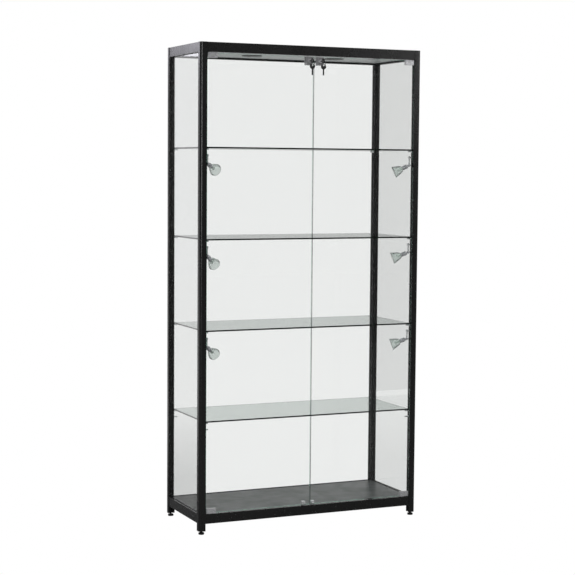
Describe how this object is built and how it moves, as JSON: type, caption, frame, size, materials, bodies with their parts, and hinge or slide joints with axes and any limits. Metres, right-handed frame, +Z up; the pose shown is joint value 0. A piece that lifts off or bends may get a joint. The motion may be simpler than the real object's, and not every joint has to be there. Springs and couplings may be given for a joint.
{
  "type": "glass showcase cabinet",
  "caption": "Tall free-standing display cabinet with a black profile frame, glass shelves, lockable frameless glass doors and adjustable corner spotlights.",
  "frame": {"origin": "centre of the overall box at floor level", "axes": "+Z up, -Y towards the doors, +X to the right seen from the front"},
  "size_m": [1, 0.445, 2],
  "materials": {
    "black_frame": "black satin anodised",
    "black_plastic": "matt black",
    "panel_grey": "matt mid grey",
    "clear_glass": "clear float glass",
    "shelf_glass": "clear float glass, green edge",
    "chrome": "polished chrome",
    "lock_metal": "polished nickel",
    "key_black": "black grip, steel blade",
    "seal_rubber": "black rubber",
    "vent_grey": "dark grey",
    "steel": "zinc plated"
  },
  "bodies": {
    "frame": {"post_front_left": "black_frame", "post_front_right": "black_frame", "post_back_left": "black_frame", "post_back_right": "black_frame", "post_caps": "black_plastic", "top_rail_front": "black_frame", "top_rail_back": "black_frame", "top_side_rails": "black_frame", "bottom_rail_front": "black_frame", "bottom_rail_back": "black_frame", "bottom_side_rails": "black_frame", "roof_panel": "panel_grey", "ceiling_panel": "panel_grey", "floor_panel": "panel_grey", "side_glass_left": "clear_glass", "side_glass_right": "clear_glass", "back_glass": "clear_glass", "glass_shelf_1": "shelf_glass", "glass_shelf_2": "shelf_glass", "glass_shelf_3": "shelf_glass", "glass_shelf_4": "shelf_glass", "shelf_pegs": "chrome", "glazing_seals": "seal_rubber", "ceiling_vents": "vent_grey", "transformer": "vent_grey", "cable_gland": "black_plastic", "pivot_washers": "black_plastic", "door_stops": "chrome", "corner_brackets": "steel", "lamp_pegs": "chrome"},
    "door_left": {"door_glass_left": "clear_glass", "hinge_clamps_left": "chrome", "lock_body_left": "lock_metal"},
    "plug_left": {"lock_plug_left": "chrome", "lock_key_left": "key_black"},
    "bolt_left": {"lock_bolt_left": "lock_metal"},
    "spare_left": {"spare_key_left": "key_black"},
    "arm_left_1": {"lamp_arm_left_1": "chrome"},
    "head_left_1": {"lamp_head_left_1": "chrome"},
    "arm_left_2": {"lamp_arm_left_2": "chrome"},
    "head_left_2": {"lamp_head_left_2": "chrome"},
    "arm_left_3": {"lamp_arm_left_3": "chrome"},
    "head_left_3": {"lamp_head_left_3": "chrome"},
    "door_right": {"door_glass_right": "clear_glass", "hinge_clamps_right": "chrome", "lock_body_right": "lock_metal"},
    "plug_right": {"lock_plug_right": "chrome", "lock_key_right": "key_black"},
    "bolt_right": {"lock_bolt_right": "lock_metal"},
    "spare_right": {"spare_key_right": "key_black"},
    "arm_right_1": {"lamp_arm_right_1": "chrome"},
    "head_right_1": {"lamp_head_right_1": "chrome"},
    "arm_right_2": {"lamp_arm_right_2": "chrome"},
    "head_right_2": {"lamp_head_right_2": "chrome"},
    "arm_right_3": {"lamp_arm_right_3": "chrome"},
    "head_right_3": {"lamp_head_right_3": "chrome"},
    "foot_front_left": {"foot_front_left": "black_plastic"},
    "foot_front_right": {"foot_front_right": "black_plastic"},
    "foot_back_right": {"foot_back_right": "black_plastic"},
    "foot_back_left": {"foot_back_left": "black_plastic"}
  },
  "joints": [
    {"name": "door_left_swing", "type": "hinge", "parent": "frame", "child": "door_left", "pos_m": [-0.465, -0.17, 1.022], "axis": [0, 0, -1], "range_deg": [0, 95]},
    {"name": "key_left_turn", "type": "hinge", "parent": "door_left", "child": "plug_left", "pos_m": [-0.025, -0.1855, 1.938], "axis": [0, -1, 0], "range_deg": [0, 90]},
    {"name": "bolt_left_lift", "type": "slide", "parent": "door_left", "child": "bolt_left", "axis": [0, 0, 1], "range_m": [0, 0.006]},
    {"name": "spare_key_left_hang", "type": "hinge", "parent": "plug_left", "child": "spare_left", "pos_m": [-0.025, -0.2135, 1.9305], "axis": [0, 1, 0], "range_deg": [0, 90]},
    {"name": "lamp_left_1_swivel", "type": "hinge", "parent": "frame", "child": "arm_left_1", "pos_m": [-0.461, -0.1545, 0.803], "axis": [0, 0, 1], "range_deg": [-26, 39]},
    {"name": "lamp_left_1_tilt", "type": "hinge", "parent": "arm_left_1", "child": "head_left_1", "pos_m": [-0.461, -0.1545, 0.77], "axis": [-0.6428, 0.766, 0], "range_deg": [-23, 22]},
    {"name": "lamp_left_2_swivel", "type": "hinge", "parent": "frame", "child": "arm_left_2", "pos_m": [-0.461, -0.1545, 1.175], "axis": [0, 0, 1], "range_deg": [-26, 39]},
    {"name": "lamp_left_2_tilt", "type": "hinge", "parent": "arm_left_2", "child": "head_left_2", "pos_m": [-0.461, -0.1545, 1.142], "axis": [-0.6428, 0.766, 0], "range_deg": [-26, 19]},
    {"name": "lamp_left_3_swivel", "type": "hinge", "parent": "frame", "child": "arm_left_3", "pos_m": [-0.461, -0.1545, 1.547], "axis": [0, 0, 1], "range_deg": [-26, 39]},
    {"name": "lamp_left_3_tilt", "type": "hinge", "parent": "arm_left_3", "child": "head_left_3", "pos_m": [-0.461, -0.1545, 1.514], "axis": [-0.6428, 0.766, 0], "range_deg": [-14, 31]},
    {"name": "door_right_swing", "type": "hinge", "parent": "frame", "child": "door_right", "pos_m": [0.465, -0.17, 1.022], "axis": [0, 0, 1], "range_deg": [0, 95]},
    {"name": "key_right_turn", "type": "hinge", "parent": "door_right", "child": "plug_right", "pos_m": [0.025, -0.1855, 1.938], "axis": [0, -1, 0], "range_deg": [0, 90]},
    {"name": "bolt_right_lift", "type": "slide", "parent": "door_right", "child": "bolt_right", "axis": [0, 0, 1], "range_m": [0, 0.006]},
    {"name": "spare_key_right_hang", "type": "hinge", "parent": "plug_right", "child": "spare_right", "pos_m": [0.025, -0.2135, 1.9305], "axis": [0, 1, 0], "range_deg": [0, 90]},
    {"name": "lamp_right_1_swivel", "type": "hinge", "parent": "frame", "child": "arm_right_1", "pos_m": [0.461, -0.1545, 0.803], "axis": [0, 0, -1], "range_deg": [-8, 57]},
    {"name": "lamp_right_1_tilt", "type": "hinge", "parent": "arm_right_1", "child": "head_right_1", "pos_m": [0.461, -0.1545, 0.77], "axis": [-0.3746, -0.9272, 0], "range_deg": [-14, 31]},
    {"name": "lamp_right_2_swivel", "type": "hinge", "parent": "frame", "child": "arm_right_2", "pos_m": [0.461, -0.1545, 1.175], "axis": [0, 0, -1], "range_deg": [-8, 57]},
    {"name": "lamp_right_2_tilt", "type": "hinge", "parent": "arm_right_2", "child": "head_right_2", "pos_m": [0.461, -0.1545, 1.142], "axis": [-0.3746, -0.9272, 0], "range_deg": [-14, 31]},
    {"name": "lamp_right_3_swivel", "type": "hinge", "parent": "frame", "child": "arm_right_3", "pos_m": [0.461, -0.1545, 1.547], "axis": [0, 0, -1], "range_deg": [-8, 57]},
    {"name": "lamp_right_3_tilt", "type": "hinge", "parent": "arm_right_3", "child": "head_right_3", "pos_m": [0.461, -0.1545, 1.514], "axis": [-0.3746, -0.9272, 0], "range_deg": [-18, 27]},
    {"name": "foot_front_left_turn", "type": "hinge", "parent": "frame", "child": "foot_front_left", "pos_m": [-0.485, -0.1625, 0], "axis": [0, 0, 1], "continuous": true},
    {"name": "foot_front_right_turn", "type": "hinge", "parent": "frame", "child": "foot_front_right", "pos_m": [0.485, -0.1625, 0], "axis": [0, 0, 1], "continuous": true},
    {"name": "foot_back_right_turn", "type": "hinge", "parent": "frame", "child": "foot_back_right", "pos_m": [0.485, 0.2075, 0], "axis": [0, 0, 1], "continuous": true},
    {"name": "foot_back_left_turn", "type": "hinge", "parent": "frame", "child": "foot_back_left", "pos_m": [-0.485, 0.2075, 0], "axis": [0, 0, 1], "continuous": true}
  ],
  "couplings": [
    {"joint": "key_left_turn", "follows": "bolt_left_lift", "rad_per_m": 261.8},
    {"joint": "spare_key_left_hang", "follows": "bolt_left_lift", "rad_per_m": 261.8},
    {"joint": "key_right_turn", "follows": "bolt_right_lift", "rad_per_m": 261.8},
    {"joint": "spare_key_right_hang", "follows": "bolt_right_lift", "rad_per_m": 261.8}
  ]
}
